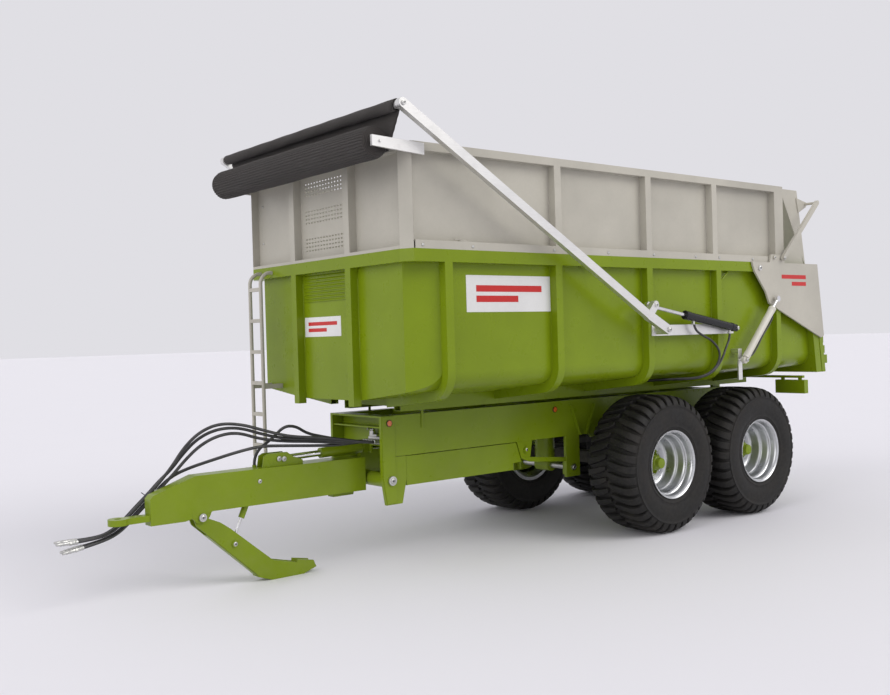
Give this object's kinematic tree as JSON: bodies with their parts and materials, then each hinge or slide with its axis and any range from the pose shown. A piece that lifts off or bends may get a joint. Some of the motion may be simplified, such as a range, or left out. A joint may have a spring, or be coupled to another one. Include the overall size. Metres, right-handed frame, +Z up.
{
  "type": "grain cart",
  "caption": "Tandem-axle rear-tipping grain trailer with extension walls, roll-over net cover, swinging tailgate, sprung drawbar and parking stand.",
  "frame": {"origin": "on the ground, on the centreline, half way between the front of the hitch eye and the back of the tailgate's lower locks", "axes": "+X forward to the hitch, +Y to the trailer's left, +Z up"},
  "size_m": [7.7224, 2.744, 3.5259],
  "materials": {
    "green_paint": "gloss sprayed enamel",
    "grey_paint": "satin light grey enamel",
    "black_paint": "gloss black enamel",
    "cream_paint": "satin cream enamel",
    "wheel_silver": "silver wheel lacquer",
    "bare_aluminium": "satin",
    "ram_chrome": "polished",
    "zinc_steel": "zinc plated",
    "spring_steel": "satin black",
    "net_fabric": "coarse woven net",
    "hose_rubber": "satin",
    "tyre_rubber": "matt",
    "amber_plastic": "clear moulded reflector",
    "red_plastic": "clear moulded lens"
  },
  "bodies": {
    "chassis": {"chassis_rails": "green_paint", "lower_side_boxes": "green_paint", "frame_brackets": "green_paint", "headstock": "green_paint", "chassis_pins": "zinc_steel", "reflectors": "amber_plastic", "hose_manifold": "zinc_steel"},
    "drawbar": {"drawbar_beam": "green_paint", "hitch_eye": "green_paint", "drawbar_fittings": "zinc_steel", "hydraulic_hose_1": "hose_rubber", "hydraulic_hose_2": "hose_rubber", "hydraulic_hose_3": "hose_rubber", "hydraulic_hose_4": "hose_rubber", "hydraulic_hose_5": "hose_rubber", "hose_couplings": "zinc_steel"},
    "suspension_barrel": {"suspension_barrel": "green_paint"},
    "suspension_rod": {"suspension_rod": "ram_chrome"},
    "stand_leg": {"stand_leg": "green_paint"},
    "stand_barrel": {"stand_barrel": "green_paint"},
    "stand_rod": {"stand_rod": "ram_chrome"},
    "bogie": {"axles": "spring_steel", "leaf_springs": "spring_steel", "spring_clamps": "spring_steel"},
    "tub": {"tub_shell": "green_paint", "tub_frame": "green_paint", "tub_subframe": "green_paint", "light_panels": "green_paint", "light_lenses": "red_plastic", "side_brackets": "bare_aluminium", "ladder": "grey_paint", "extension_sides": "grey_paint", "extension_front": "grey_paint"},
    "tipping_barrel": {"tipping_barrel": "green_paint"},
    "tailgate": {"tailgate_panel": "green_paint", "gate_side_plates": "grey_paint", "rear_flap": "grey_paint", "flap_struts": "grey_paint"},
    "gate_barrels": {"gate_barrels": "cream_paint"},
    "gate_rods": {"gate_rods": "ram_chrome"},
    "cover_arms": {"cover_arms": "bare_aluminium", "cover_crossbar": "bare_aluminium", "cover_net": "net_fabric"},
    "cover_barrels": {"cover_barrels": "black_paint"},
    "cover_rods": {"cover_rods": "ram_chrome"},
    "cover_roller": {"roller_tube": "bare_aluminium", "cover_roll": "net_fabric"},
    "tipping_stage_1": {"tipping_stage_1": "ram_chrome"},
    "tipping_stage_2": {"tipping_stage_2": "ram_chrome"},
    "tipping_stage_3": {"tipping_stage_3": "ram_chrome"},
    "tipping_stage_4": {"tipping_stage_4": "ram_chrome"},
    "wheel_front_left": {"wheel_front_left": "wheel_silver", "tyre_front_left": "tyre_rubber"},
    "wheel_front_right": {"wheel_front_right": "wheel_silver", "tyre_front_right": "tyre_rubber"},
    "wheel_rear_left": {"wheel_rear_left": "wheel_silver", "tyre_rear_left": "tyre_rubber"},
    "wheel_rear_right": {"wheel_rear_right": "wheel_silver", "tyre_rear_right": "tyre_rubber"}
  },
  "joints": [
    {"name": "drawbar_hinge", "type": "hinge", "parent": "chassis", "child": "drawbar", "pos_m": [1.507, 0, 0.695], "axis": [0, 1, 0], "range_deg": [0, 8]},
    {"name": "suspension_tilt", "type": "hinge", "parent": "chassis", "child": "suspension_barrel", "pos_m": [1.522, 0, 0.945], "axis": [0, 1, 0], "range_deg": [0, 8]},
    {"name": "suspension_slide", "type": "slide", "parent": "suspension_barrel", "child": "suspension_rod", "axis": [0.9997, 0, -0.0231], "range_m": [0, 0.04]},
    {"name": "stand_fold", "type": "hinge", "parent": "drawbar", "child": "stand_leg", "pos_m": [3.01, 0, 0.563], "axis": [0, 1, 0], "range_deg": [0, 25]},
    {"name": "stand_barrel_tilt", "type": "hinge", "parent": "drawbar", "child": "stand_barrel", "pos_m": [2.537, 0, 0.78], "axis": [0, 1, 0], "range_deg": [0, 3]},
    {"name": "stand_rod_slide", "type": "slide", "parent": "stand_barrel", "child": "stand_rod", "axis": [0.4165, 0, -0.9091], "range_m": [-0.16, 0]},
    {"name": "bogie_rock", "type": "hinge", "parent": "chassis", "child": "bogie", "pos_m": [-1.74, 0, 0.83], "axis": [0, 1, 0], "range_deg": [-8, 8]},
    {"name": "wheel_front_left_spin", "type": "hinge", "parent": "bogie", "child": "wheel_front_left", "pos_m": [-1.061, 0, 0.63], "axis": [0, 1, 0], "continuous": true},
    {"name": "wheel_front_right_spin", "type": "hinge", "parent": "bogie", "child": "wheel_front_right", "pos_m": [-1.061, 0, 0.63], "axis": [0, 1, 0], "continuous": true},
    {"name": "wheel_rear_left_spin", "type": "hinge", "parent": "bogie", "child": "wheel_rear_left", "pos_m": [-2.419, 0, 0.63], "axis": [0, 1, 0], "continuous": true},
    {"name": "wheel_rear_right_spin", "type": "hinge", "parent": "bogie", "child": "wheel_rear_right", "pos_m": [-2.419, 0, 0.63], "axis": [0, 1, 0], "continuous": true},
    {"name": "tub_tip", "type": "hinge", "parent": "chassis", "child": "tub", "pos_m": [-2.96, 0, 1.14], "axis": [0, -1, 0], "range_deg": [0, 48]},
    {"name": "ram_tilt", "type": "hinge", "parent": "chassis", "child": "tipping_barrel", "pos_m": [-0.6, 0, 0.59], "axis": [0, -1, 0], "range_deg": [0, 21]},
    {"name": "ram_stage_1_slide", "type": "slide", "parent": "tipping_barrel", "child": "tipping_stage_1", "axis": [0, 0, 1], "range_m": [0, 0.47]},
    {"name": "ram_stage_2_slide", "type": "slide", "parent": "tipping_stage_1", "child": "tipping_stage_2", "axis": [0, 0, 1], "range_m": [0, 0.47]},
    {"name": "ram_stage_3_slide", "type": "slide", "parent": "tipping_stage_2", "child": "tipping_stage_3", "axis": [0, 0, 1], "range_m": [0, 0.47]},
    {"name": "ram_stage_4_slide", "type": "slide", "parent": "tipping_stage_3", "child": "tipping_stage_4", "axis": [0, 0, 1], "range_m": [0, 0.47]},
    {"name": "tailgate_swing", "type": "hinge", "parent": "tub", "child": "tailgate", "pos_m": [-2.42, 0, 2.436], "axis": [0, 1, 0], "range_deg": [0, 60]},
    {"name": "gate_barrel_tilt", "type": "hinge", "parent": "tub", "child": "gate_barrels", "pos_m": [-2.075, 0, 1.54], "axis": [0, 1, 0], "range_deg": [0, 8]},
    {"name": "gate_rod_slide", "type": "slide", "parent": "gate_barrels", "child": "gate_rods", "axis": [-0.7041, 0, 0.7101], "range_m": [0, 0.38]},
    {"name": "cover_swing", "type": "hinge", "parent": "tub", "child": "cover_arms", "pos_m": [-0.829, 0, 1.852], "axis": [0, -1, 0], "range_deg": [0, 121]},
    {"name": "cover_barrel_tilt", "type": "hinge", "parent": "tub", "child": "cover_barrels", "pos_m": [-1.935, 0, 1.851], "axis": [0, -1, 0], "range_deg": [-8, 0]},
    {"name": "cover_rod_slide", "type": "slide", "parent": "cover_barrels", "child": "cover_rods", "axis": [0.9856, 0, 0.1693], "range_m": [-0.47, 0]},
    {"name": "cover_roller_spin", "type": "hinge", "parent": "tub", "child": "cover_roller", "pos_m": [2.132, 0, 3.235], "axis": [0, 1, 0], "continuous": true}
  ],
  "couplings": [
    {"joint": "suspension_tilt", "follows": "drawbar_hinge", "ratio": 0.99},
    {"joint": "suspension_slide", "follows": "drawbar_hinge", "m_per_rad": 0.25},
    {"joint": "stand_barrel_tilt", "follows": "stand_fold", "ratio": 0.1129},
    {"joint": "stand_rod_slide", "follows": "stand_fold", "m_per_rad": -0.3498},
    {"joint": "ram_tilt", "follows": "tub_tip", "ratio": 0.4265},
    {"joint": "ram_stage_1_slide", "follows": "tub_tip", "m_per_rad": 0.55604},
    {"joint": "ram_stage_2_slide", "follows": "tub_tip", "m_per_rad": 0.55604},
    {"joint": "ram_stage_3_slide", "follows": "tub_tip", "m_per_rad": 0.55604},
    {"joint": "ram_stage_4_slide", "follows": "tub_tip", "m_per_rad": 0.55604},
    {"joint": "gate_barrel_tilt", "follows": "tailgate_swing", "ratio": 0.1207},
    {"joint": "gate_rod_slide", "follows": "tailgate_swing", "m_per_rad": 0.3512},
    {"joint": "cover_barrel_tilt", "follows": "cover_swing", "ratio": -0.0614},
    {"joint": "cover_rod_slide", "follows": "cover_swing", "m_per_rad": -0.21825}
  ]
}
